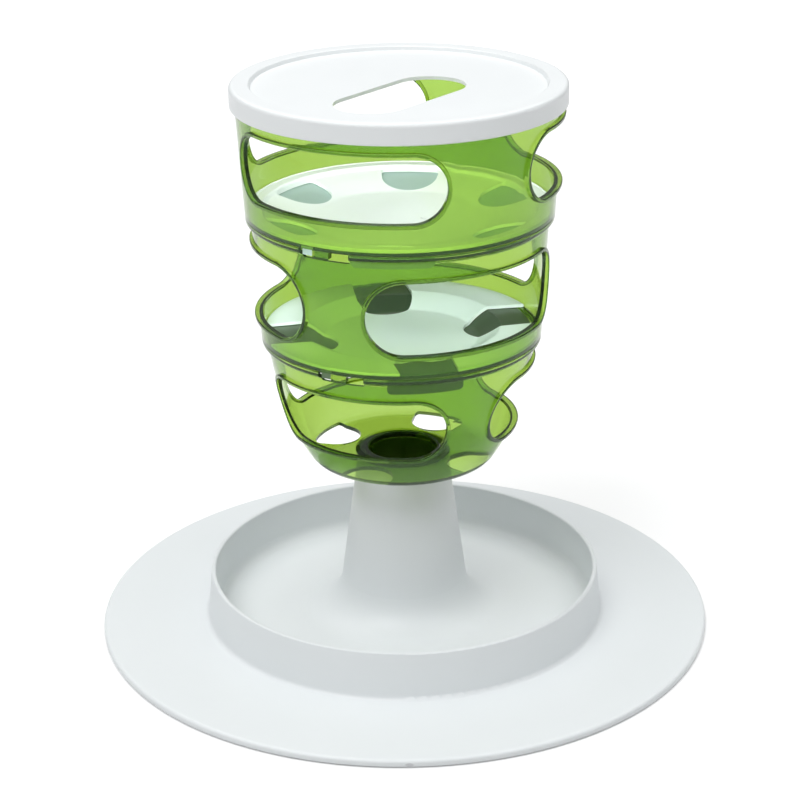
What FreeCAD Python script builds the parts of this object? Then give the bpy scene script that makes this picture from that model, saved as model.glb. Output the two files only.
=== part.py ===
import FreeCAD, Part
import math
import os

# A cat food tree: three clear tiers with paw windows stand on the column of a broad dish.
# The two upper tiers each carry a dished tray with petal holes. Under each tray a shutter plate
# with the same petals is keyed to the tier, so turning the tray opens and shuts its holes.
# Millimetres. Z is up and the origin is the middle of the footprint.
# Angles are degrees from the front, the -Y side, and grow towards +X.

# Clearances between pieces
stack_gap = 0.1
slip_gap = 0.35
pivot_gap = 0.08

# How far joined solids run into each other, how far cutters run past what they cut,
# and the rounding of a moulding's small edges
weld = 0.5
overrun = 1.0
edge_rounding = 0.5

# Base: skirt, dish wall and column in one moulding
base_radius = 176.7
base_wall = 2.4
skirt_top = 4.4
skirt_bottom = 0.6
skirt_crown = 0.1
skirt_rounding = 2.0
dish_radius = 115.4
dish_outer_lean = 2.7
dish_rim_width = 2.5
dish_inner_lean = 1.9
dish_wall_top = 32.0
dish_floor = 5.6
dish_foot_rounding = 2.5
dish_rim_rounding = 1.1
dish_corner_rounding = 6.0
dish_hollow_top = 18.0
dish_hollow_rounding = 0.7
column_foot_radius = 38.9
column_fillet = 22.0
column_wall = 2.5
column_top_rounding = 0.8
base_rib_count = 12
base_rib_thickness = 1.8
base_rib_clearance = 1.0
base_rib_top = 15.0
base_rib_start = 2.0

# Rubber pads under the skirt
pad_count = 6
pad_inset = 14.5
pad_radius = 7.0
pad_seat_wall = 1.4

# Clear tiers
tier_wall = 2.0
column_seam = 102.0
lower_tier_height = 75.0
middle_tier_height = 70.5
upper_tier_height = 69.0
lower_seam_radius = 78.7
middle_tier_flare = 6.7
upper_tier_flare = 3.9
lower_seam = column_seam + lower_tier_height
upper_seam = lower_seam + middle_tier_height
lid_seam = upper_seam + upper_tier_height
upper_seam_radius = lower_seam_radius + middle_tier_flare
lid_seam_radius = upper_seam_radius + upper_tier_flare

# Rim band that widens the top of the lower and middle tiers
rim_top_rounding = 0.6
rim_draft = 0.08
rim_depth = 2.9
shoulder_height = 2.0
lower_neck_inset = 3.1
upper_neck_inset = 3.3
shoulder_rounding = 1.0

# Bowl of the lower tier
bowl_floor_thickness = 2.3
bowl_floor_inset = 32.1
bowl_corner_radius = 8.5
bowl_corner_turn = 57.0
bowl_side_slope = 0.2
bowl_floor_radius = lower_seam_radius - bowl_floor_inset

# Cup in the bowl's floor, which plugs into the column, and the hump round its mouth
cup_radius = 19.3
cup_depth = 18.5
cup_draft = 0.055
cup_wall = 1.9
cup_corner_radius = 1.5
cup_foot_lift = 2.0
hump_width = 4.3
hump_run = 3.6
hump_height = 1.5
fin_thickness = 1.4
column_gap = 2.0
column_rib_count = 6
column_rib_thickness = 2.0
column_rib_depth = 26.0
column_rib_drop = 1.5
column_shelf_reach = 6.0
column_top_radius = cup_radius + cup_wall + column_gap + column_wall

# Paw windows: angle of the first one's middle, width, bottom and top
window_count = 3
upper_window = {"middle": -27.2, "width": 86.5, "low": upper_seam + 17.7, "high": lid_seam - 15.2}
middle_window = {"middle": 33.5, "width": 94.3, "low": lower_seam + 13.6, "high": upper_seam - 15.8}
lower_window = {"middle": -28.4, "width": 96.0, "low": column_seam + 22.7, "high": lower_seam - 16.2}
window_cut_inward = 22.0
window_cut_outward = 14.0
lip_width = 2.2
lip_reach_low = 2.5
lip_reach_high = 1.8
lip_rounding = 0.6

# Ledge for the tray, with the spigot below it that locates a tier in the rim of the next one
ledge_width = 3.1
ledge_thickness = 1.7
ledge_rise = 1.2
spigot_depth = 1.8
spigot_wall = 1.6

# Notches in a rim. The lug of the tier above and the key of its shutter hang in each.
notch_count = 2
notch_depth = 6.0
notch_corner_radius = 1.2
upper_notch = {"start": -38.6, "sweep": 20.0}
lower_notch = {"start": -34.9, "sweep": 19.6}
lug_sweep = 6.6
lug_drop = 2.3
lug_corner_radius = 0.7
key_sweep = 5.2
key_side_gap = 0.3
key_wall = 1.75
key_drop = 2.5

# Trays: the flat rim or ledge, the slope and the flat middle
tray_thickness = 1.8
upper_tray = {
    "rim_width": 7.2, "step_height": 2.5, "step_run": 1.0, "step_rounding": 1.0,
    "slope_run": 25.95, "basin_depth": 8.2, "basin_rounding": 20.0,
}
middle_tray = {"ledge_width": 20.95, "slope_run": 12.2, "basin_depth": 7.4, "rounding": 4.0}
tray_bead_width = 1.0
tray_bead_height = 0.5

# Shutter plates, each hung on the snap stud of its tray
shutter_thickness = 1.8
shutter_gap = 0.4
shutter_edge_gap = 0.6
shutter_rim_width = 1.8
shutter_rim_drop = 1.2
tray_travel = {"upper": 30.0, "middle": 45.0}
stud_radius = 6.0
stud_tip_taper = 1.0
stud_barb = 0.9
stud_barb_edge = 0.8
stud_barb_height = 3.0
stud_slot = 2.4
hub_radius = 11.0
hub_height = 1.2
stop_radius = 2.0
stop_drop = 1.0
stop_circle_radius = 17.0
stop_angle = 180.0

# Finger tabs under the shutters
upper_tab = {"start": -19.5, "sweep": 32.5, "bottom": upper_seam - 9.0, "inset": 2.4}
upper_grip = {"start": 36.0, "sweep": 28.0, "bottom": upper_seam - 6.9, "inset": 2.4}
middle_tab = {"start": -6.5, "sweep": 33.4, "bottom": lower_seam - 10.7, "inset": 1.4}
tab_wall = 1.8
tab_corner_radius = 2.5

# Petal holes: how many, where the first one is, and the outline of one.
# The web is the strip left between a petal and the shutter's edge.
upper_petal = {
    "count": 6, "middle": -5.0, "half_width": 17.0, "end_radius": 16.0, "web": 4.3, "length": 24.9,
}
middle_petal = {
    "count": 4, "middle": 11.0, "half_width": 15.6, "end_radius": 16.5, "web": 4.0, "length": 33.0,
}
lower_petal = {
    "count": 4, "middle": -27.0, "half_width": 16.0, "end_radius": 14.0,
}
lower_petal_reach = 4.9
lower_petal_inset = 1.8
lower_petal_top = 12.0
petal_corner_radius = 2.5

# Lid
lid_skirt_wall = 1.95
lid_bottom = lid_seam - 8.9
lid_top = lid_seam + 2.9
lid_edge_radius = 2.4
lid_foot_rounding = 0.8
lid_rim_width = 11.6
lid_recess_depth = 2.4
lid_recess_draft = 0.8
lid_plate = 1.9
lid_plate_overlap = 2.0
lid_slot_radius = 20.0
lid_slot_ends = ((16.4, -2.7), (-14.5, -42.0))
lid_guide_depth = 5.0
lid_guide_wall = 1.8
lid_guide_draft = 0.3
lid_radius = lid_seam_radius + slip_gap + lid_skirt_wall


def angle_at(front_angle):
    return front_angle - 90.0


def meeting_point(first, second):
    (r0, z0), (r1, z1) = first
    (r2, z2), (r3, z3) = second
    cross = (r1 - r0) * (z3 - z2) - (z1 - z0) * (r3 - r2)
    share = ((r2 - r0) * (z3 - z2) - (z2 - z0) * (r3 - r2)) / cross
    return r0 + share * (r1 - r0), z0 + share * (z1 - z0)


# A run of (radius, height, rounding) corners moved sideways, to the left of its direction.
def shifted(corners, distance):
    lines = []
    for (r0, z0, _), (r1, z1, _) in zip(corners, corners[1:]):
        length = math.hypot(r1 - r0, z1 - z0)
        move_r = -(z1 - z0) / length * distance
        move_z = (r1 - r0) / length * distance
        lines.append(((r0 + move_r, z0 + move_z), (r1 + move_r, z1 + move_z)))
    moved = [lines[0][0] + (0.0,)]
    for before, after, corner in zip(lines, lines[1:], corners[1:-1]):
        (r0, z0), (r1, z1) = before
        (r2, z2), (r3, z3) = after
        turns_left = (r1 - r0) * (z3 - z2) - (z1 - z0) * (r3 - r2) > 0
        rounding = corner[2]
        if rounding > 0:
            rounding = max(rounding - distance if turns_left else rounding + distance, 0.0)
        moved.append(meeting_point(before, after) + (rounding,))
    moved.append(lines[-1][1] + (0.0,))
    return moved


# Closed wire in the XZ plane through the corners, with an arc at each rounded one.
def outline(corners):
    points = [FreeCAD.Vector(r, 0, z) for r, z, _ in corners]
    starts = []
    ends = []
    arcs = []
    count = len(points)
    for index, point in enumerate(points):
        before = (points[index - 1] - point).normalize()
        after = (points[(index + 1) % count] - point).normalize()
        half_angle = before.getAngle(after) / 2
        rounding = corners[index][2]
        reach = rounding / math.tan(half_angle)
        start = point + before * reach
        end = point + after * reach
        starts.append(start)
        ends.append(end)
        middle_way = (before + after).normalize()
        nearest = point + middle_way * (rounding / math.sin(half_angle) - rounding)
        arcs.append(Part.Arc(start, nearest, end).toShape() if reach > 0 else None)
    edges = []
    for index in range(count):
        if arcs[index]:
            edges.append(arcs[index])
        finish = starts[(index + 1) % count]
        if ends[index].distanceToPoint(finish) > 1e-6:
            edges.append(Part.makeLine(ends[index], finish))
    return Part.Wire(edges)


# The same corners with the last one slid along its line to a given height.
def ended_at(corners, height):
    (r0, z0, _), (r1, z1, _) = corners[-2:]
    radius = r0 + (r1 - r0) * (height - z0) / (z1 - z0)
    return corners[:-1] + [(radius, height, 0.0)]


def revolved(corners, start=0.0, sweep=360.0):
    face = Part.Face(outline(corners))
    face.rotate(FreeCAD.Vector(), FreeCAD.Vector(0, 0, 1), start)
    return face.revolve(FreeCAD.Vector(), FreeCAD.Vector(0, 0, 1), sweep)


def block(inner, outer, low, high, start, sweep):
    corners = [(inner, low, 0), (outer, low, 0), (outer, high, 0), (inner, high, 0)]
    return revolved(corners, angle_at(start), sweep)


def turned(shape, angle):
    copy = shape.copy()
    copy.rotate(FreeCAD.Vector(), FreeCAD.Vector(0, 0, 1), angle)
    return copy


def around(shape, count):
    return [turned(shape, 360.0 * index / count) for index in range(count)]


def column_radius(height):
    share = (height - dish_floor) / (column_seam - dish_floor)
    return column_foot_radius + (column_top_radius - column_foot_radius) * share


# Corners up over the skirt, the dish's wall and its floor to the top of the column.
def base_outside():
    top = column_seam - stack_gap
    outer_top = dish_radius - dish_outer_lean
    inner_top = outer_top - dish_rim_width
    return [
        (base_radius, skirt_bottom, 0.0),
        (base_radius, skirt_top, skirt_rounding),
        (dish_radius, skirt_top + skirt_crown, dish_foot_rounding),
        (outer_top, dish_wall_top, dish_rim_rounding),
        (inner_top, dish_wall_top, dish_rim_rounding),
        (inner_top - dish_inner_lean, dish_floor, dish_corner_rounding),
        (column_foot_radius, dish_floor, column_fillet),
        (column_radius(top), top, 0.0),
    ]


# Corners back down the inside. A narrow hollow runs up into the dish's wall.
def base_inside():
    top = column_seam - stack_gap
    under_skirt = skirt_top - base_wall
    under_floor = dish_floor - base_wall
    hollow_outer = dish_radius - base_wall
    hollow_middle = dish_radius - dish_outer_lean - dish_rim_width / 2
    hollow_inner = dish_radius - dish_outer_lean - dish_rim_width - dish_inner_lean + base_wall
    return [
        (column_radius(top) - column_wall, top, 0.0),
        (column_foot_radius - column_wall, under_floor, column_fillet - base_wall),
        (hollow_inner, under_floor, 0.0),
        (hollow_middle, dish_hollow_top, dish_hollow_rounding),
        (hollow_outer, under_skirt, 0.0),
        (base_radius - base_wall, under_skirt, edge_rounding),
        (base_radius - base_wall, skirt_bottom, 0.0),
    ]


def base_moulding():
    outside = base_outside()
    inside = base_inside()
    outside[0] = outside[0][:2] + (edge_rounding,)
    outside[-1] = outside[-1][:2] + (column_top_rounding,)
    inside[0] = inside[0][:2] + (column_top_rounding,)
    inside[-1] = inside[-1][:2] + (edge_rounding,)
    return revolved(outside + inside)


# Radial ribs that fill the underside up to the middle of the moulding's wall.
def base_ribs():
    start = column_foot_radius + base_rib_start
    length = base_radius - base_wall / 2 - start
    rib = Part.makeBox(
        length, base_rib_thickness, base_rib_top - base_rib_clearance,
        FreeCAD.Vector(start, -base_rib_thickness / 2, base_rib_clearance))
    middle = shifted(base_outside(), base_wall / 2)
    room = revolved(middle + [(0.0, middle[-1][1], 0.0), (0.0, middle[0][1], 0.0)])
    return around(rib.common(room), base_rib_count)


# Pads, their seats and recesses lie midway between two ribs.
def at_pads(shape):
    return around(turned(shape, 180.0 / base_rib_count), pad_count)


def pad_cylinder(radius, low, high):
    place = FreeCAD.Vector(base_radius - pad_inset, 0, low)
    return Part.makeCylinder(radius, high - low, place)


def make_pads():
    pad = pad_cylinder(pad_radius, 0.0, skirt_top - base_wall)
    bottom = [edge for edge in pad.Edges if edge.BoundBox.ZMax < edge_rounding]
    pad = pad.makeFillet(edge_rounding, bottom)
    return Part.makeCompound(at_pads(pad))


def cup_outer_radius(height):
    return cup_radius + cup_wall - cup_draft * (column_seam - height)


def cup_bottom():
    return column_seam + bowl_floor_thickness - cup_depth - cup_wall


# Ribs inside the column that centre the cup and carry its bottom.
def column_ribs():
    top = column_seam - column_rib_drop
    shelf = cup_bottom() - stack_gap
    foot = top - column_rib_depth
    slip_top = cup_outer_radius(top) + slip_gap
    slip_shelf = cup_outer_radius(shelf) + slip_gap
    points = [
        FreeCAD.Vector(slip_top, 0, top),
        FreeCAD.Vector(slip_shelf, 0, shelf),
        FreeCAD.Vector(slip_shelf - column_shelf_reach, 0, shelf),
        FreeCAD.Vector(column_radius(foot) - column_wall + weld, 0, foot),
        FreeCAD.Vector(column_radius(top) - column_wall + weld, 0, top),
    ]
    face = Part.Face(Part.makePolygon(points + points[:1]))
    face.translate(FreeCAD.Vector(0, -column_rib_thickness / 2, 0))
    rib = face.extrude(FreeCAD.Vector(0, column_rib_thickness, 0))
    return around(turned(rib, angle_at(0)), column_rib_count)


def make_base():
    under_skirt = skirt_top - base_wall
    seat = pad_cylinder(pad_radius + slip_gap + pad_seat_wall, base_rib_clearance, under_skirt + weld)
    recess = pad_cylinder(pad_radius + slip_gap, 0.0, under_skirt)
    base = base_moulding()
    base = base.fuse(base_ribs() + at_pads(seat) + column_ribs())
    base = base.cut(at_pads(recess))
    return base.removeSplitter()


# Radius of a run of corners at a height.
def wall_radius(corners, height):
    for (r0, z0, _), (r1, z1, _) in zip(corners, corners[1:]):
        if z0 <= height <= z1:
            return r0 + (r1 - r0) * (height - z0) / (z1 - z0)


# Stadium wrapped round the tier: a sector with a radial cylinder at each end.
def window_cutter(window, wall, grow):
    middle = (window["low"] + window["high"]) / 2
    half_height = (window["high"] - window["low"]) / 2
    radius = wall_radius(wall, middle)
    end = window["width"] / 2 - math.degrees(half_height / radius)
    inner = radius - window_cut_inward
    outer = radius + window_cut_outward
    cutter = block(
        inner, outer, middle - half_height - grow, middle + half_height + grow,
        window["middle"] - end, 2 * end)
    for side in (-end, end):
        cap = Part.makeCylinder(
            half_height + grow, outer - inner, FreeCAD.Vector(inner, 0, middle),
            FreeCAD.Vector(1, 0, 0))
        cutter = cutter.fuse(turned(cap, angle_at(window["middle"] + side)))
    return cutter.removeSplitter()


# Edges that lie on the cone through two corners.
def edges_on(shape, line):
    (r0, z0, _), (r1, z1, _) = line
    found = []
    for edge in shape.Edges:
        first, last = edge.ParameterRange
        points = [edge.valueAt(first + (last - first) * share) for share in (0.1, 0.5, 0.9)]
        misses = [
            abs(math.hypot(point.x, point.y) - r0 - (r1 - r0) * (point.z - z0) / (z1 - z0))
            for point in points
        ]
        if max(misses) < 0.02:
            found.append(edge)
    return found


def outer_radius(tier, height):
    slices = tier.slice(FreeCAD.Vector(0, 0, 1), height)
    return max(math.hypot(vertex.X, vertex.Y) for wire in slices for vertex in wire.Vertexes)


# The face of a window's lip: a cone that leans outwards towards the lower side.
def lip_crest(window, tier):
    low = window["low"]
    high = window["high"]
    foot = outer_radius(tier, low) + lip_reach_low
    head = outer_radius(tier, high) + lip_reach_high
    lean = (head - foot) / (high - low) * 2 * lip_width
    return [
        (foot - lean, low - 2 * lip_width, 0.0),
        (head + lean, high + 2 * lip_width, 0.0),
    ]


def window_lip(tier, window, wall):
    crest = lip_crest(window, tier)
    band = revolved(crest + shifted(wall, tier_wall / 2)[::-1])
    lip = band.common(window_cutter(window, wall, lip_width))
    lip = lip.cut(window_cutter(window, wall, 0.0))
    return lip.makeFillet(lip_rounding, edges_on(lip, crest))


def add_windows(tier, window, wall):
    lip = window_lip(tier, window, wall)
    tier = tier.cut(around(window_cutter(window, wall, 0.0), window_count))
    tier = tier.fuse(around(lip, window_count))
    return tier.removeSplitter()


# Corners of a rim band from its neck up to the seam above it.
def rim_corners(neck_inset, seam, seam_radius):
    rim_bottom = seam - rim_depth
    return [
        (seam_radius - neck_inset, rim_bottom - shoulder_height, shoulder_rounding),
        (seam_radius - rim_draft * rim_depth, rim_bottom, shoulder_rounding),
        (seam_radius, seam - stack_gap, 0.0),
    ]


# Corners of the ledge and spigot at the foot of a tier, from the inner wall to the seam.
def foot_corners(wall, seam, seam_radius):
    inner = seam_radius - tier_wall
    ledge_top = seam + ledge_rise
    ledge_under = ledge_top - ledge_thickness
    spigot_outer = inner - slip_gap - spigot_depth * rim_draft
    spigot_inner = spigot_outer - spigot_wall
    return [
        (wall_radius(shifted(wall, tier_wall), ledge_top), ledge_top, edge_rounding),
        (inner - ledge_width, ledge_top, edge_rounding),
        (inner - ledge_width, ledge_under, edge_rounding),
        (spigot_inner, ledge_under, 0.0),
        (spigot_inner, seam - spigot_depth, edge_rounding),
        (spigot_outer, seam - spigot_depth, edge_rounding),
        (spigot_outer, seam, 0.0),
    ]


# Edges along the radius at the underside of a sector.
def lower_radial_edges(sector, low, width):
    return [
        edge for edge in sector.Edges
        if edge.BoundBox.ZMax < low + edge_rounding and edge.Length < width + edge_rounding
    ]


def notch_cutters(notch, seam, seam_radius):
    inner = seam_radius - tier_wall - 4 * overrun
    outer = seam_radius + 3 * overrun
    low = seam - notch_depth
    cutter = block(inner, outer, low, seam + overrun, notch["start"], notch["sweep"])
    cutter = cutter.makeFillet(notch_corner_radius, lower_radial_edges(cutter, low, outer - inner))
    return around(cutter, notch_count)


# The spigot leaves the notch open. The key-way runs up through the ledge, and the lug hangs beside it.
def cut_spigot(tier, notch, seam, seam_radius):
    inner = seam_radius - tier_wall
    slip = inner - slip_gap
    under = seam - spigot_depth
    ledge_top = seam + ledge_rise
    key_way_sweep = key_sweep + 2 * key_side_gap
    gap = block(
        inner - ledge_width - overrun, slip, under - overrun, ledge_top - ledge_thickness,
        notch["start"], notch["sweep"])
    key_way = block(
        inner - ledge_width - overrun, slip, under - overrun, ledge_top + overrun,
        notch["start"], key_way_sweep)
    low = under - lug_drop
    lug = block(
        slip - spigot_wall, seam_radius - slip_gap, low, seam + weld,
        notch["start"] + key_way_sweep, lug_sweep)
    width = seam_radius - slip + spigot_wall
    lug = lug.makeFillet(lug_corner_radius, lower_radial_edges(lug, low, width))
    tier = tier.cut(around(gap, notch_count) + around(key_way, notch_count))
    return tier.fuse(around(lug, notch_count))


# Corners up the outside of a wall, over its rounded top edge and down the inside.
def wall_outline(corners):
    outer = corners[-1]
    inner = ended_at(shifted(corners, tier_wall), outer[1])
    top = [(outer[0], outer[1], rim_top_rounding), (inner[-1][0], outer[1], rim_top_rounding)]
    return corners[:-1] + top + inner[:-1][::-1]


def upper_wall():
    return [(upper_seam_radius, upper_seam, 0.0), (lid_seam_radius, lid_seam - stack_gap, 0.0)]


def middle_wall():
    rim = rim_corners(upper_neck_inset, upper_seam, upper_seam_radius)
    return [(lower_seam_radius, lower_seam, 0.0)] + rim


# The bowl's side: a tight corner at the floor, then a long curve up to the straight cone.
def lower_wall():
    rim = rim_corners(lower_neck_inset, lower_seam, lower_seam_radius)
    neck_radius, neck_height, _ = rim[0]
    cone_foot = (neck_radius - bowl_side_slope * (neck_height - column_seam), column_seam)
    turn = math.radians(bowl_corner_turn)
    corner_reach = bowl_corner_radius * math.tan(turn / 2)
    floor_corner = (bowl_floor_radius + corner_reach, column_seam)
    ramp_end = (floor_corner[0] + math.cos(turn), floor_corner[1] + math.sin(turn))
    side_corner = meeting_point((floor_corner, ramp_end), (cone_foot, (neck_radius, neck_height)))
    ramp_length = math.hypot(side_corner[0] - floor_corner[0], side_corner[1] - floor_corner[1])
    side_turn = math.pi / 2 - math.atan(bowl_side_slope) - turn
    side_radius = (ramp_length - corner_reach) / math.tan(side_turn / 2)
    return [floor_corner + (bowl_corner_radius,), side_corner + (side_radius,)] + rim


def make_upper_tier():
    wall = upper_wall()
    tier = revolved(wall_outline(wall)[:-1] + foot_corners(wall, upper_seam, upper_seam_radius))
    tier = add_windows(tier, upper_window, wall)
    tier = cut_spigot(tier, upper_notch, upper_seam, upper_seam_radius)
    return tier.removeSplitter()


def make_middle_tier():
    wall = middle_wall()
    tier = revolved(wall_outline(wall)[:-1] + foot_corners(wall, lower_seam, lower_seam_radius))
    tier = add_windows(tier, middle_window, wall)
    tier = tier.cut(notch_cutters(upper_notch, upper_seam, upper_seam_radius))
    tier = cut_spigot(tier, lower_notch, lower_seam, lower_seam_radius)
    return tier.removeSplitter()


def hump_foot_radius():
    return cup_radius + hump_width + hump_run


# Corners from the bowl's floor over the hump, down into the cup and back up its outside.
def cup_corners():
    floor = column_seam + bowl_floor_thickness
    bottom = cup_bottom()
    return [
        (hump_foot_radius(), floor, cup_corner_radius),
        (cup_radius + hump_width + hump_run / 3, floor + hump_height, cup_corner_radius),
        (cup_radius, floor + hump_height, cup_corner_radius),
        (cup_radius - cup_draft * cup_depth, bottom + cup_wall, cup_corner_radius),
        (0.0, bottom + cup_wall, 0.0),
        (0.0, bottom, 0.0),
        (cup_outer_radius(bottom), bottom, cup_corner_radius),
        (cup_outer_radius(column_seam), column_seam, edge_rounding),
    ]


# A pair of fins on the cup, one each side of the column's front rib.
def cup_fins():
    low = cup_bottom() + cup_foot_lift
    high = column_seam + weld
    outer = column_radius(column_seam) - column_wall - slip_gap
    aside = column_rib_thickness / 2 + slip_gap
    fins = []
    for left in (aside, -aside - fin_thickness):
        fin = Part.makeBox(
            outer - cup_radius, fin_thickness, high - low, FreeCAD.Vector(cup_radius, left, low))
        fins.append(turned(fin, angle_at(0)))
    return fins


def make_lower_tier():
    wall = lower_wall()
    floor = column_seam + bowl_floor_thickness
    floor_corner = (wall[0][0], floor, bowl_corner_radius - tier_wall)
    tier = revolved(wall_outline(wall)[:-1] + [floor_corner] + cup_corners())
    tier = tier.fuse(cup_fins())
    tier = add_windows(tier, lower_window, wall)
    tier = tier.cut(notch_cutters(lower_notch, lower_seam, lower_seam_radius))
    inner = hump_foot_radius() + lower_petal_inset
    outer = bowl_floor_radius + lower_petal_reach
    tier = tier.cut(petal_cutters(
        lower_petal, inner, outer, column_seam - overrun, floor + lower_petal_top, 0.0))
    return tier.removeSplitter()


def mirrored(point):
    return FreeCAD.Vector(point.x, -point.y, point.z)


# One petal: an arc at its outer end, straight sides and a round inner end.
def petal_prism(petal, inner, outer, low, high):
    half_angle = math.asin(petal["half_width"] / outer)
    end_radius = petal["end_radius"]
    corner = FreeCAD.Vector(outer * math.cos(half_angle), petal["half_width"], low)
    centre = FreeCAD.Vector(inner + end_radius, 0, low)
    to_corner = corner - centre
    touch_angle = math.atan2(to_corner.y, to_corner.x) + math.acos(end_radius / to_corner.Length)
    touch = centre + FreeCAD.Vector(math.cos(touch_angle), math.sin(touch_angle), 0) * end_radius
    wire = Part.Wire([
        Part.Arc(mirrored(corner), FreeCAD.Vector(outer, 0, low), corner).toShape(),
        Part.makeLine(corner, touch),
        Part.Arc(touch, FreeCAD.Vector(inner, 0, low), mirrored(touch)).toShape(),
        Part.makeLine(mirrored(touch), mirrored(corner)),
    ])
    prism = Part.Face(wire).extrude(FreeCAD.Vector(0, 0, high - low))
    ends = [
        edge for edge in prism.Edges
        if abs(edge.CenterOfMass.x - corner.x) < 0.1 and edge.BoundBox.ZLength > high - low - 0.1
    ]
    return prism.makeFillet(petal_corner_radius, ends)


def petal_cutters(petal, inner, outer, low, high, turn):
    prism = petal_prism(petal, inner, outer, low, high)
    return around(turned(prism, angle_at(petal["middle"] + turn)), petal["count"])


# Radius of a shutter's edge, just inside the tier's ledge.
def shutter_radius(seam_radius):
    return seam_radius - tier_wall - ledge_width - shutter_edge_gap


def petal_ends(petal, seam_radius):
    outer = shutter_radius(seam_radius) - petal["web"]
    return outer - petal["length"], outer


def tray_radius(wall, seam):
    return wall_radius(shifted(wall, tier_wall), seam + ledge_rise) - slip_gap


# The top surface of a tray from its middle to its rim, which rests on the tier's ledge.
def upper_tray_top():
    rim = upper_seam + ledge_rise + stack_gap + tray_thickness
    basin = rim - upper_tray["basin_depth"]
    outer = tray_radius(upper_wall(), upper_seam)
    step = outer - upper_tray["rim_width"]
    foot = step - upper_tray["step_run"]
    return [
        (0.0, basin, 0.0),
        (foot - upper_tray["slope_run"], basin, upper_tray["basin_rounding"]),
        (foot, rim - upper_tray["step_height"], upper_tray["step_rounding"]),
        (step, rim, upper_tray["step_rounding"]),
        (outer, rim, 0.0),
    ]


def middle_tray_top():
    rim = lower_seam + ledge_rise + stack_gap + tray_thickness
    basin = rim - middle_tray["basin_depth"]
    outer = tray_radius(middle_wall(), lower_seam)
    ledge = outer - middle_tray["ledge_width"]
    return [
        (0.0, basin, 0.0),
        (ledge - middle_tray["slope_run"], basin, middle_tray["rounding"]),
        (ledge, rim, middle_tray["rounding"]),
        (outer, rim, 0.0),
    ]


# Corners of a surface at a given depth under a tray's top, from the axis to the plate's edge.
def plate_surface(top_corners, depth, outer):
    surface = shifted(top_corners, -depth)
    surface[0] = (0.0, surface[0][1], 0.0)
    surface[-1] = (outer, surface[-1][1], edge_rounding)
    return surface


# The shutter's underside turns down into a narrow rim at its edge.
def shutter_underside(top_corners, depth, outer):
    surface = plate_surface(top_corners, depth, outer)
    under = surface[-1][1]
    inner = outer - shutter_rim_width
    low = under - shutter_rim_drop
    return surface[:-1] + [(inner, under, 0.0), (inner, low, edge_rounding), (outer, low, edge_rounding)]


# Split stud with a barbed end that snaps through the shutter's hub.
def snap_stud(basin):
    under = basin - tray_thickness
    hub_under = under - shutter_gap - shutter_thickness - hub_height
    barb_top = hub_under - stack_gap
    barb_bottom = barb_top - stud_barb_height
    stud = revolved([
        (0.0, barb_bottom, 0.0),
        (stud_radius - stud_tip_taper, barb_bottom, 0.0),
        (stud_radius + stud_barb, barb_top - stud_barb_edge, 0.0),
        (stud_radius + stud_barb, barb_top, 0.0),
        (stud_radius, barb_top, 0.0),
        (stud_radius, under + weld, 0.0),
        (0.0, under + weld, 0.0),
    ])
    length = 2 * (stud_radius + stud_barb + overrun)
    slot = Part.makeBox(
        length, stud_slot, under - barb_bottom + overrun,
        FreeCAD.Vector(-length / 2, -stud_slot / 2, barb_bottom - overrun))
    return stud.cut([turned(slot, 45), turned(slot, 135)])


# Pin that runs in the shutter's arc slot and stops the tray at each end of its turn.
def stop_pin(basin):
    under = basin - tray_thickness
    low = under - shutter_gap - shutter_thickness - stop_drop
    pin = Part.makeCylinder(
        stop_radius, under + weld - low, FreeCAD.Vector(stop_circle_radius, 0, low))
    return turned(pin, angle_at(stop_angle))


def make_tray(top_corners, petal, inner, outer):
    basin = top_corners[0][1]
    rim = top_corners[-1][1]
    edge = top_corners[-1][0]
    top = plate_surface(top_corners, 0.0, edge)
    tray = revolved(plate_surface(top_corners, tray_thickness, edge) + top[::-1])
    tray = tray.cut(petal_cutters(
        petal, inner, outer, basin - tray_thickness - overrun, rim + overrun, 0.0))
    return tray.fuse([snap_stud(basin), stop_pin(basin)])


def make_upper_tray():
    top = upper_tray_top()
    inner, outer = petal_ends(upper_petal, upper_seam_radius)
    tray = make_tray(top, upper_petal, inner, outer)
    edge = top[-1][0]
    rim = top[-1][1]
    bead = revolved([
        (edge - tray_bead_width, rim - weld, 0.0),
        (edge, rim - 2 * weld, 0.0),
        (edge, rim + tray_bead_height, edge_rounding * 0.8),
        (edge - tray_bead_width, rim + tray_bead_height, edge_rounding * 0.8),
    ])
    return tray.fuse(bead).removeSplitter()


# The middle tray's petals run out through its rim.
def make_middle_tray():
    top = middle_tray_top()
    inner, _ = petal_ends(middle_petal, lower_seam_radius)
    past_rim = top[-1][0] + petal_corner_radius + overrun
    return make_tray(top, middle_petal, inner, past_rim).removeSplitter()


# Finger tab hanging from the shutter near its edge, with rounded lower corners.
def finger_tab(tab, top_corners, depth, edge_radius):
    outer = edge_radius - tab["inset"]
    rim = top_corners[-1][1]
    low = tab["bottom"]
    tab_block = block(outer - tab_wall, outer, low, rim, tab["start"], tab["sweep"])
    tab_block = tab_block.makeFillet(tab_corner_radius, lower_radial_edges(tab_block, low, tab_wall))
    top = shifted(top_corners, -depth - shutter_thickness + weld)
    top[0] = (0.0, top[0][1], 0.0)
    room = revolved([(0.0, low - overrun, 0.0), (top[-1][0], low - overrun, 0.0)] + top[::-1])
    return tab_block.common(room)


# The keys reach out through the key-ways and down in the notches of the rim below.
def shutter_keys(notch, seam, seam_radius, under, top):
    edge = shutter_radius(seam_radius)
    outer = seam_radius - tier_wall - slip_gap - key_side_gap
    start = notch["start"] + key_side_gap
    low = seam - spigot_depth - key_drop
    arm = block(edge - shutter_rim_width, outer, under, top, start, key_sweep)
    leg = block(outer - key_wall, outer, low, top, start, key_sweep)
    return around(arm.fuse(leg), notch_count)


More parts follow.
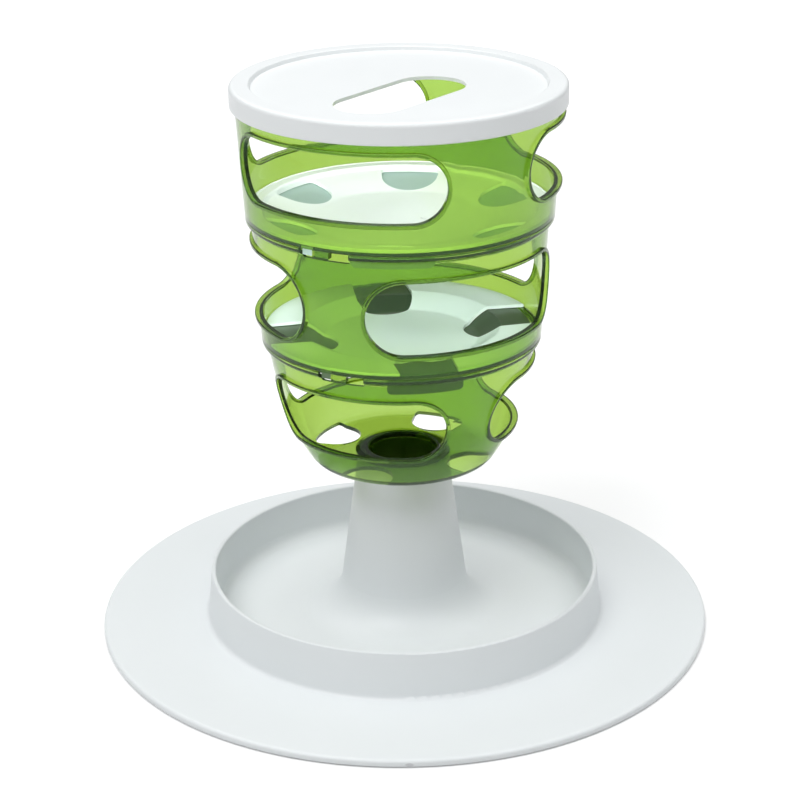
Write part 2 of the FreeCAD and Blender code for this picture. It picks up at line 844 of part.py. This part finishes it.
# Arc slot for the tray's stop pin, from its place when shut to its place when open.
def stop_slot(low, high, travel):
    inner = stop_circle_radius - stop_radius - slip_gap
    outer = stop_circle_radius + stop_radius + slip_gap
    slot = block(inner, outer, low, high, stop_angle, travel)
    for angle in (stop_angle, stop_angle + travel):
        end = Part.makeCylinder(
            stop_radius + slip_gap, high - low, FreeCAD.Vector(stop_circle_radius, 0, low))
        slot = slot.fuse(turned(end, angle_at(angle)))
    return slot


def make_shutter(top_corners, petal, travel, tabs, notch, seam, seam_radius):
    edge = shutter_radius(seam_radius)
    depth = tray_thickness + shutter_gap
    basin_under = top_corners[0][1] - depth - shutter_thickness
    rim_top = top_corners[-1][1] - depth
    rim_under = rim_top - shutter_thickness
    hub = Part.makeCylinder(
        hub_radius, hub_height + weld, FreeCAD.Vector(0, 0, basin_under - hub_height))
    low = basin_under - hub_height - overrun
    high = rim_top + overrun
    bore = Part.makeCylinder(stud_radius + pivot_gap, high - low, FreeCAD.Vector(0, 0, low))
    inner, outer = petal_ends(petal, seam_radius)
    cutters = petal_cutters(petal, inner, outer, low, high, travel)
    underside = shutter_underside(top_corners, depth + shutter_thickness, edge)
    shutter = revolved(underside + plate_surface(top_corners, depth, edge)[::-1])
    shutter = shutter.fuse(hub)
    shutter = shutter.cut(cutters + [bore, stop_slot(low, high, travel)])
    shutter = shutter.fuse([finger_tab(tab, top_corners, depth, edge) for tab in tabs])
    shutter = shutter.fuse(shutter_keys(notch, seam, seam_radius, rim_under, rim_top))
    return shutter.removeSplitter()


def make_upper_shutter():
    return make_shutter(
        upper_tray_top(), upper_petal, tray_travel["upper"], (upper_tab, upper_grip),
        upper_notch, upper_seam, upper_seam_radius)


def make_middle_shutter():
    return make_shutter(
        middle_tray_top(), middle_petal, tray_travel["middle"], (middle_tab,),
        lower_notch, lower_seam, lower_seam_radius)


def lid_slot_cutter():
    (x0, y0), (x1, y1) = lid_slot_ends
    length = math.hypot(x1 - x0, y1 - y0)
    height = lid_top - lid_bottom + overrun
    cutter = Part.makeBox(
        length, 2 * lid_slot_radius, height, FreeCAD.Vector(0, -lid_slot_radius, lid_bottom))
    for along in (0, length):
        cutter = cutter.fuse(
            Part.makeCylinder(lid_slot_radius, height, FreeCAD.Vector(along, 0, lid_bottom)))
    cutter = cutter.removeSplitter()
    bearing = math.degrees(math.atan2(y1 - y0, x1 - x0))
    cutter.rotate(FreeCAD.Vector(), FreeCAD.Vector(0, 0, 1), bearing)
    cutter.translate(FreeCAD.Vector(x0, y0, 0))
    return cutter


def make_lid():
    skirt_inner = lid_seam_radius + slip_gap
    guide_outer = lid_seam_radius - tier_wall - slip_gap
    guide_inner = guide_outer - lid_guide_wall
    guide_low = lid_seam - lid_guide_depth
    recess_radius = lid_radius - lid_rim_width
    recess = lid_top - lid_recess_depth
    lid = revolved([
        (0.0, recess - lid_plate, 0.0),
        (recess_radius + lid_plate_overlap, recess - lid_plate, edge_rounding),
        (recess_radius + lid_plate_overlap, lid_seam, edge_rounding),
        (guide_inner, lid_seam, edge_rounding),
        (guide_inner, guide_low, edge_rounding),
        (guide_outer - lid_guide_draft, guide_low, edge_rounding),
        (guide_outer, lid_seam, 0.0),
        (skirt_inner, lid_seam, edge_rounding),
        (skirt_inner, lid_bottom, edge_rounding),
        (lid_radius, lid_bottom, lid_foot_rounding),
        (lid_radius, lid_top, lid_edge_radius),
        (recess_radius + lid_recess_draft, lid_top, lid_foot_rounding),
        (recess_radius, recess, edge_rounding),
        (0.0, recess, 0.0),
    ])
    return lid.cut(lid_slot_cutter()).removeSplitter()


def main():
    nodes = {
        "base": make_base(),
        "base_pads": make_pads(),
        "lower_tier": make_lower_tier(),
        "middle_tier": make_middle_tier(),
        "upper_tier": make_upper_tier(),
        "middle_tray": make_middle_tray(),
        "upper_tray": make_upper_tray(),
        "middle_shutter": make_middle_shutter(),
        "upper_shutter": make_upper_shutter(),
        "lid": make_lid(),
    }
    os.makedirs("parts", exist_ok=True)
    for name, shape in nodes.items():
        shape.exportStep("parts/" + name + ".step")
        print(name, shape.ShapeType, len(shape.Solids), shape.isValid(), round(shape.Volume))


main()
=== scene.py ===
import math

import bpy
import bmesh
from mathutils import Matrix, Vector


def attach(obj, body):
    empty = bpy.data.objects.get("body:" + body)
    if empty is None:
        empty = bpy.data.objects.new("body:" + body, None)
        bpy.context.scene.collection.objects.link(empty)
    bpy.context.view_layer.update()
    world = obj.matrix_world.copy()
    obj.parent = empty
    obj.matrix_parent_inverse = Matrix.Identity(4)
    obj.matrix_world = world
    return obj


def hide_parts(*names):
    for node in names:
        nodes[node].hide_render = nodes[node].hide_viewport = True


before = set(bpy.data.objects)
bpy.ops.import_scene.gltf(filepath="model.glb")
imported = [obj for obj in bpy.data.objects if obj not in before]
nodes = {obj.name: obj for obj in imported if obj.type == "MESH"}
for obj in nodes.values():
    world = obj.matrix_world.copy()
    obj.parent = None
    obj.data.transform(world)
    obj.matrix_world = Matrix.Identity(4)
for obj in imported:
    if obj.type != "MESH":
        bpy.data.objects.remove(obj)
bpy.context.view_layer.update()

scene = bpy.context.scene
print("frame loaded:", len(nodes), "nodes")


# camera, from the photograph's vanishing lines
view = {
    "place": (-0.0017, -1.13078, 0.5955),
    "pitchDown": 22.22,  # degrees
    "yaw": -0.02,
    "roll": -0.69,
    "lens": 96.44,  # mm
    "sensor": 36.0,
    "near": 0.05,
    "far": 60.0,
}


def addCamera():
    data = bpy.data.cameras.new("photoCamera")
    data.lens = view["lens"]
    data.sensor_width = view["sensor"]
    data.clip_start = view["near"]
    data.clip_end = view["far"]
    camera = bpy.data.objects.new("photoCamera", data)
    scene.collection.objects.link(camera)
    turn = (Matrix.Rotation(math.radians(view["yaw"]), 4, "Z")
            @ Matrix.Rotation(math.radians(90 - view["pitchDown"]), 4, "X")
            @ Matrix.Rotation(math.radians(view["roll"]), 4, "Z"))
    camera.matrix_world = Matrix.Translation(view["place"]) @ turn
    scene.camera = camera


# a material and the few node steps that all of them use
class Tree:
    def __init__(self, name):
        self.material = bpy.data.materials.new(name)
        self.material.use_nodes = True
        self.nodes = self.material.node_tree.nodes
        self.links = self.material.node_tree.links
        self.shader = self.nodes["Principled BSDF"]
        self.out = self.nodes["Material Output"]
        self.place = self.add("ShaderNodeTexCoord").outputs["Object"]

    def add(self, kind, **values):
        node = self.nodes.new(kind)
        for key, value in values.items():
            setattr(node, key, value)
        return node

    def join(self, source, target):
        self.links.new(source, target)

    def noise(self, scale, detail, rough=0.5):
        node = self.add("ShaderNodeTexNoise")
        node.inputs["Scale"].default_value = scale
        node.inputs["Detail"].default_value = detail
        node.inputs["Roughness"].default_value = rough
        self.join(self.place, node.inputs["Vector"])
        return node.outputs["Fac"]

    def spread(self, source, low, high, fromLow=0.0, fromHigh=1.0):
        node = self.add("ShaderNodeMapRange")
        node.inputs["From Min"].default_value = fromLow
        node.inputs["From Max"].default_value = fromHigh
        node.inputs["To Min"].default_value = low
        node.inputs["To Max"].default_value = high
        self.join(source, node.inputs["Value"])
        return node.outputs["Result"]

    def mixColour(self, share, first, second):
        node = self.add("ShaderNodeMix", data_type="RGBA")
        self.join(share, node.inputs["Factor"])
        for socket, colour in ((node.inputs[6], first), (node.inputs[7], second)):
            if isinstance(colour, tuple):
                socket.default_value = colour + (1.0,)
            else:
                self.join(colour, socket)
        return node.outputs[2]

    def bump(self, height, distance, strength, under=None):
        node = self.add("ShaderNodeBump")
        node.inputs["Distance"].default_value = distance
        node.inputs["Strength"].default_value = strength
        self.join(height, node.inputs["Height"])
        if under is not None:
            self.join(under, node.inputs["Normal"])
        return node.outputs["Normal"]


# studio: white paper, an even sky, a soft light from the front left, a large one overhead,
# and two that light the trays inside the clear tiers
studio = {
    "skyTone": (0.97, 0.985, 1.0),
    "skyStrength": 0.26,
    "aim": (0.0, 0.0, 0.15),
    "keyPower": 46.0,
    "keySize": 2.4,
    "keyPlace": (-1.6, -1.9, 3.7),
    "topPower": 170.0,
    "topSize": 7.0,
    "topPlace": (0.0, 0.0, 3.2),
    "trayAim": (0.0, 0.0, 0.22),
    "fillPower": 56.0,
    "fillSize": 1.2,
    "fillPlace": (-0.5, -2.3, 1.7),
    "filled": ("middle_tray", "upper_tray", "middle_shutter", "upper_shutter"),
    "windowPower": 36.0,
    "windowSize": 0.5,
    "windowPlace": (0.05, -2.2, 0.98),
    "windowed": ("middle_tray", "upper_tray"),
    "clearBounces": 24,  # enough for rays that cross all the clear walls
    "plainBounces": 6,
}

paper = {
    "size": 14.0,
    "drop": 0.0002,  # just under the pads
    "tone": 0.95,
    "bounceTone": 0.60,  # what the paper throws back up at the object
    "roughness": 0.8,
    "glow": 0.08,
    "farGlow": 0.75,  # keeps the paper white a long way back
    "farStart": 1.0,
    "farEnd": 2.6,
}

white = (1.0, 1.0, 1.0, 1.0)


def addLight(name, aim):
    data = bpy.data.lights.new(name + "Light", "AREA")
    data.energy = studio[name + "Power"]
    data.shape = "DISK"
    data.size = studio[name + "Size"]
    place = Vector(studio[name + "Place"])
    lamp = bpy.data.objects.new(name + "Light", data)
    scene.collection.objects.link(lamp)
    lamp.location = place
    lamp.rotation_euler = (Vector(aim) - place).to_track_quat("-Z", "Y").to_euler()
    return lamp


def lightOnly(lamp, names):
    reach = bpy.data.collections.new(lamp.name + "Reach")
    for name in names:
        reach.objects.link(nodes[name])
    lamp.light_linking.receiver_collection = reach
    return reach


def addLights():
    addLight("key", studio["aim"])
    addLight("top", studio["aim"])
    # the clear walls don't shade this one
    fill = addLight("fill", studio["trayAim"])
    fill.light_linking.blocker_collection = lightOnly(fill, studio["filled"])
    # this one comes in by the windows, and green through the walls
    lightOnly(addLight("window", studio["trayAim"]), studio["windowed"])


def addSky():
    world = bpy.data.worlds.new("studioSky")
    world.use_nodes = True
    skyNodes, links = world.node_tree.nodes, world.node_tree.links
    sky = skyNodes["Background"]
    sky.inputs["Color"].default_value = studio["skyTone"] + (1.0,)
    sky.inputs["Strength"].default_value = studio["skyStrength"]
    behind = skyNodes.new("ShaderNodeBackground")  # what shows past the paper's edge
    behind.inputs["Color"].default_value = white
    path = skyNodes.new("ShaderNodeLightPath")
    mix = skyNodes.new("ShaderNodeMixShader")
    links.new(path.outputs["Is Camera Ray"], mix.inputs[0])
    links.new(sky.outputs["Background"], mix.inputs[1])
    links.new(behind.outputs["Background"], mix.inputs[2])
    links.new(mix.outputs["Shader"], skyNodes["World Output"].inputs["Surface"])
    scene.world = world


def makePaper():
    tree = Tree("floorPaper")
    shader = tree.shader
    shader.inputs["Roughness"].default_value = paper["roughness"]
    path = tree.add("ShaderNodeLightPath")
    tones = [(paper[name],) * 3 for name in ("tone", "bounceTone")]
    tree.join(tree.mixColour(path.outputs["Is Diffuse Ray"], *tones), shader.inputs["Base Color"])
    distance = tree.add("ShaderNodeVectorMath", operation="LENGTH")
    tree.join(tree.place, distance.inputs[0])
    far = tree.spread(distance.outputs["Value"], 0.0, paper["farGlow"], paper["farStart"], paper["farEnd"])
    seen = tree.add("ShaderNodeMath", operation="MAXIMUM")
    tree.join(path.outputs["Is Camera Ray"], seen.inputs[0])
    tree.join(path.outputs["Is Transmission Ray"], seen.inputs[1])
    glow = tree.add("ShaderNodeMath", operation="MULTIPLY_ADD")
    tree.join(seen.outputs["Value"], glow.inputs[0])
    tree.join(far, glow.inputs[1])
    glow.inputs[2].default_value = paper["glow"]
    shader.inputs["Emission Color"].default_value = white
    tree.join(glow.outputs["Value"], shader.inputs["Emission Strength"])
    return tree.material


def addFloor():
    half = paper["size"] / 2
    corners = [(x * half, y * half, -paper["drop"]) for x, y in ((-1, -1), (1, -1), (1, 1), (-1, 1))]
    mesh = bpy.data.meshes.new("floor")
    mesh.from_pydata(corners, [], [(0, 1, 2, 3)])
    mesh.materials.append(makePaper())
    floor = bpy.data.objects.new("floor", mesh)
    scene.collection.objects.link(floor)


def setLook():
    scene.view_settings.view_transform = "Standard"
    scene.view_settings.look = "None"
    for name in ("max_bounces", "transmission_bounces", "transparent_max_bounces"):
        setattr(scene.cycles, name, studio["clearBounces"])
    for name in ("diffuse_bounces", "glossy_bounces"):
        setattr(scene.cycles, name, studio["plainBounces"])


addCamera()
addSky()
addFloor()
addLights()
setLook()
print("camera and studio ready")


whitePlastic = {
    "driftScale": 9.0,
    "cloudScale": 60.0,
    "waveScale": 22.0,
    "waveDepth": 0.00025,
    "waveStrength": 0.35,
    "grainScale": 1900.0,
    "grainDepth": 0.00004,
    "grainStrength": 0.3,
    "ior": 1.49,
}

# grey oval on the skirt's front edge: partly the gate scar's own tone, partly painted shade of the small bump there
gateScarShade = {
    "middle": (0.0012, -0.1767, 0.0019),  # on the front of the skirt's edge
    "halfSize": (0.0028, 0.0020, 0.0011),
    "softFrom": 0.6,  # share of the half size where the edge starts to fade
    "tone": (0.60, 0.61, 0.63),
}


# share of the way into the small grey oval on the skirt's edge: partly the scar where the moulding's gate was cut
# off, partly painted shade of its small bump
def gateScarShadeShare(tree):
    shift = tree.add("ShaderNodeVectorMath", operation="SUBTRACT")
    shift.inputs[1].default_value = gateScarShade["middle"]
    tree.join(tree.place, shift.inputs[0])
    scale = tree.add("ShaderNodeVectorMath", operation="DIVIDE")
    scale.inputs[1].default_value = gateScarShade["halfSize"]
    tree.join(shift.outputs["Vector"], scale.inputs[0])
    length = tree.add("ShaderNodeVectorMath", operation="LENGTH")
    tree.join(scale.outputs["Vector"], length.inputs[0])
    return tree.spread(length.outputs["Value"], 1.0, 0.0, gateScarShade["softFrom"], 1.0)


# satin moulding: a fine spark-eroded grain over a very slow waviness, and a faint drift of tone
def makeWhite(name, pale, shade, roughLow, roughHigh, gloss=0.5, gateScarShaded=False):
    tree = Tree(name)
    shader = tree.shader
    drift = tree.spread(tree.noise(whitePlastic["driftScale"], 4.0, 0.55), 0.0, 1.0, 0.15, 0.85)
    tone = tree.mixColour(drift, pale, shade)
    # the optional grey oval is partly painted shade
    if gateScarShaded:
        tone = tree.mixColour(gateScarShadeShare(tree), tone, gateScarShade["tone"])
    tree.join(tone, shader.inputs["Base Color"])
    cloud = tree.noise(whitePlastic["cloudScale"], 3.0, 0.6)
    tree.join(tree.spread(cloud, roughLow, roughHigh), shader.inputs["Roughness"])
    wave = tree.bump(
        tree.noise(whitePlastic["waveScale"], 1.0), whitePlastic["waveDepth"], whitePlastic["waveStrength"])
    grain = tree.bump(
        tree.noise(whitePlastic["grainScale"], 2.0), whitePlastic["grainDepth"], whitePlastic["grainStrength"], wave)
    tree.join(grain, shader.inputs["Normal"])
    shader.inputs["IOR"].default_value = whitePlastic["ior"]
    shader.inputs["Specular IOR Level"].default_value = gloss
    return tree.material


greenPlastic = {
    "tint": (0.64, 0.90, 0.42),
    "sheenTint": (0.50, 0.82, 0.50),
    "absorb": (0.649, 0.723, 0.0),
    "density": 740.0,  # per metre
    "clearness": 0.96,  # the rest is a faint milky haze
    "ior": 1.53,
    "cloudScale": 35.0,
    "roughLow": 0.015,
    "roughHigh": 0.06,
    "flowScale": 18.0,
    "flowDepth": 0.0004,
    "flowStrength": 0.2,
    "shadow": (0.94, 0.95, 0.94),  # what each face lets through of a light
}


# clear moulding: coloured through its depth, with faint flow waves on its polish
def makeGreen():
    tree = Tree("clearGreen")
    shader = tree.shader
    shader.inputs["Base Color"].default_value = greenPlastic["tint"] + (1.0,)
    shader.inputs["Transmission Weight"].default_value = greenPlastic["clearness"]
    shader.inputs["IOR"].default_value = greenPlastic["ior"]
    shader.inputs["Specular Tint"].default_value = greenPlastic["sheenTint"] + (1.0,)
    cloud = tree.noise(greenPlastic["cloudScale"], 3.0, 0.6)
    rough = tree.spread(cloud, greenPlastic["roughLow"], greenPlastic["roughHigh"])
    tree.join(rough, shader.inputs["Roughness"])
    flow = tree.noise(greenPlastic["flowScale"], 2.0)
    tree.join(tree.bump(flow, greenPlastic["flowDepth"], greenPlastic["flowStrength"]), shader.inputs["Normal"])
    inside = tree.add("ShaderNodeVolumeAbsorption")
    inside.inputs["Color"].default_value = greenPlastic["absorb"] + (1.0,)
    inside.inputs["Density"].default_value = greenPlastic["density"]
    tree.join(inside.outputs["Volume"], tree.out.inputs["Volume"])
    clear = tree.add("ShaderNodeBsdfTransparent")
    clear.inputs["Color"].default_value = greenPlastic["shadow"] + (1.0,)
    path = tree.add("ShaderNodeLightPath")
    mix = tree.add("ShaderNodeMixShader")
    tree.join(path.outputs["Is Shadow Ray"], mix.inputs[0])
    tree.join(shader.outputs["BSDF"], mix.inputs[1])
    tree.join(clear.outputs["BSDF"], mix.inputs[2])
    tree.join(mix.outputs["Shader"], tree.out.inputs["Surface"])
    return tree.material


finishes = {
    "baseWhite": makeWhite("baseWhite", (0.80, 0.83, 0.84), (0.77, 0.805, 0.815), 0.34, 0.48, gateScarShaded=True),
    "lidWhite": makeWhite("lidWhite", (0.84, 0.865, 0.87), (0.815, 0.845, 0.85), 0.30, 0.42),
    "trayWhite": makeWhite("trayWhite", (0.86, 0.92, 0.90), (0.83, 0.90, 0.88), 0.22, 0.42),
    # middle tray: the tray white with less red and a little darker, painted green-tinted shade from sitting deep
    # inside the clear green tiers
    "trayWhitePaintedGreenShade": makeWhite("trayWhitePaintedGreenShade", (0.77, 0.91, 0.85), (0.74, 0.89, 0.825), 0.22, 0.42),
    # upper shutter: white plastic given a dark grey-mint tone, painted shade from lying under the tray
    "shutterWhitePaintedShade": makeWhite("shutterWhitePaintedShade", (0.42, 0.57, 0.53), (0.40, 0.545, 0.505), 0.26, 0.46),
    "shutterGrey": makeWhite("shutterGrey", (0.076, 0.125, 0.062), (0.066, 0.110, 0.053), 0.30, 0.42),
    "padRubber": makeWhite("padRubber", (0.42, 0.43, 0.44), (0.36, 0.37, 0.38), 0.65, 0.85, 0.3),
    "clearGreen": makeGreen(),
}

dressing = {
    "base": "baseWhite",
    "base_pads": "padRubber",
    "lower_tier": "clearGreen",
    "middle_tier": "clearGreen",
    "upper_tier": "clearGreen",
    "middle_tray": "trayWhitePaintedGreenShade",
    "upper_tray": "trayWhite",
    "middle_shutter": "shutterGrey",
    # the upper shutter's white carries painted shade
    "upper_shutter": "shutterWhitePaintedShade",
    "lid": "lidWhite",
}


def dressNodes():
    for name, finish in dressing.items():
        for slot in nodes[name].material_slots:
            slot.material = finishes[finish]


dressNodes()
print("materials on", len(dressing), "nodes")


# rubber pads with ring-shaped treads, pressed into their seats under the skirt
pads = {
    "count": 6,
    "ringRadius": 0.1622,
    "firstAngle": 15.0,  # degrees
    "radius": 0.007,
    "top": 0.002,
    "rounding": 0.0005,
    "roundingSteps": 4,
    "grooves": ((0.0012, 0.0020), (0.0030, 0.0038), (0.0048, 0.0056)),  # inner and outer radius
    "grooveDepth": 0.0005,
    "grooveSlope": 0.0002,
    "turns": 48,
}

# shallow round marks that the ejector pins leave under the dish's floor
pinMarks = {
    "count": 12,
    "ringRadius": 0.084,
    "firstAngle": 15.0,  # degrees
    "radius": 0.003,
    "under": 0.0032,
    "height": 0.00015,
    "sink": 0.0004,
    "turns": 32,
}


def padProfile():
    radius, top, turn = pads["radius"], pads["top"], pads["rounding"]
    slope, depth = pads["grooveSlope"], pads["grooveDepth"]
    points = [(0.0, 0.0)]
    for inner, outer in pads["grooves"]:
        points += [(inner - slope, 0.0), (inner, depth), (outer, depth), (outer + slope, 0.0)]
    steps = pads["roundingSteps"]
    for step in range(steps + 1):
        angle = math.radians(90 * step / steps)
        points.append((radius - turn + turn * math.sin(angle), turn - turn * math.cos(angle)))
    return points + [(radius, top), (0.0, top)]


def pinProfile():
    radius, under, height = pinMarks["radius"], pinMarks["under"], pinMarks["height"]
    low, high = under - height, under + pinMarks["sink"]
    return [(0.0, low), (radius - height, low), (radius, under), (radius, high), (0.0, high)]


# closed turned shape, its profile given from the middle of the bottom to the middle of the top
def turnedMesh(profile, turns):
    shape = bmesh.new()
    rings = []
    for radius, height in profile:
        angles = [math.tau * k / turns for k in range(turns if radius else 1)]
        rings.append([shape.verts.new((radius * math.cos(a), radius * math.sin(a), height)) for a in angles])
    for low, high in zip(rings, rings[1:]):
        for k in range(turns):
            following = (k + 1) % turns
            corners = [
                low[k % len(low)], low[following % len(low)],
                high[following % len(high)], high[k % len(high)],
            ]
            shape.faces.new(list(dict.fromkeys(corners)))  # a triangle where a ring is one point
    bmesh.ops.recalc_face_normals(shape, faces=shape.faces)
    mesh = bpy.data.meshes.new("turned")
    shape.to_mesh(mesh)
    shape.free()
    return mesh


# node tree that sets its own object's mesh round a ring
def ringTree():
    tree = bpy.data.node_groups.new("roundTheBase", "GeometryNodeTree")
    for name, kind in (
        ("Geometry", "NodeSocketGeometry"), ("Count", "NodeSocketInt"), ("Ring Radius", "NodeSocketFloat"),
        ("First Angle", "NodeSocketFloat"), ("Finish", "NodeSocketMaterial"),
    ):
        tree.interface.new_socket(name, in_out="INPUT", socket_type=kind)
    tree.interface.new_socket("Geometry", in_out="OUTPUT", socket_type="NodeSocketGeometry")
    given = tree.nodes.new("NodeGroupInput")
    ring = tree.nodes.new("GeometryNodeMeshCircle")
    turn = tree.nodes.new("GeometryNodeTransform")
    angle = tree.nodes.new("ShaderNodeCombineXYZ")
    place = tree.nodes.new("GeometryNodeInstanceOnPoints")
    solid = tree.nodes.new("GeometryNodeRealizeInstances")
    finish = tree.nodes.new("GeometryNodeSetMaterial")
    result = tree.nodes.new("NodeGroupOutput")
    for source, target in (
        (given.outputs["Count"], ring.inputs["Vertices"]),
        (given.outputs["Ring Radius"], ring.inputs["Radius"]),
        (given.outputs["First Angle"], angle.inputs["Z"]),
        (ring.outputs["Mesh"], turn.inputs["Geometry"]),
        (angle.outputs["Vector"], turn.inputs["Rotation"]),
        (turn.outputs["Geometry"], place.inputs["Points"]),
        (given.outputs["Geometry"], place.inputs["Instance"]),
        (place.outputs["Instances"], solid.inputs["Geometry"]),
        (solid.outputs["Geometry"], finish.inputs["Geometry"]),
        (given.outputs["Finish"], finish.inputs["Material"]),
        (finish.outputs["Geometry"], result.inputs["Geometry"]),
    ):
        tree.links.new(source, target)
    return tree


def setRound(name, profile, sizes, finish):
    piece = bpy.data.objects.new(name, turnedMesh(profile, sizes["turns"]))
    scene.collection.objects.link(piece)
    modifier = piece.modifiers.new("ring", "NODES")
    modifier.node_group = roundTheBase
    values = {
        "Count": sizes["count"],
        "Ring Radius": sizes["ringRadius"],
        "First Angle": math.radians(sizes["firstAngle"]),
        "Finish": finishes[finish],
    }
    for item in roundTheBase.interface.items_tree:
        if item.in_out == "INPUT" and item.name in values:
            modifier[item.identifier] = values[item.name]
    bpy.context.view_layer.update()
    depsgraph = bpy.context.evaluated_depsgraph_get()
    plain = bpy.data.meshes.new_from_object(piece.evaluated_get(depsgraph))
    piece.modifiers.remove(modifier)
    piece.data = plain
    plain.name = name
    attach(piece, "base")
    return piece


roundTheBase = ringTree()
treadPads = setRound("treadPads", padProfile(), pads, "padRubber")
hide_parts("base_pads")
ejectorMarks = setRound("ejectorMarks", pinProfile(), pinMarks, "baseWhite")
print("pads and ejector marks under the base")
